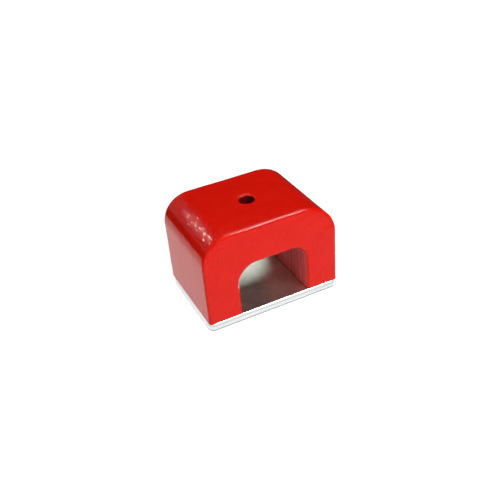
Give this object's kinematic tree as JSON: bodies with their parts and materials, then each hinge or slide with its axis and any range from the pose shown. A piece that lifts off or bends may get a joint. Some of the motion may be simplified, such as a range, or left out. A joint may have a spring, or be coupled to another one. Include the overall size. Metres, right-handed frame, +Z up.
{
  "type": "bridge magnet",
  "caption": "Cast bridge-shaped holding magnet with round shoulders, a tunnel between its two poles, a fixing hole through the top, and a flat steel keeper that slides off.",
  "frame": {"origin": "centre of the keeper's underside, on the surface that the magnet stands on", "axes": "+X across the two poles, +Y along the tunnel to the back, +Z up through the fixing hole"},
  "size_m": [0.045, 0.031, 0.0325],
  "materials": {
    "red_enamel": "gloss",
    "zinc_plate": "satin"
  },
  "bodies": {
    "magnet": {"magnet_body": "red_enamel"},
    "keeper": {"keeper_plate": "zinc_plate"}
  },
  "joints": [
    {"name": "keeper_slide", "type": "slide", "parent": "magnet", "child": "keeper", "axis": [0, 1, 0], "range_m": [-0.031, 0.031]}
  ]
}
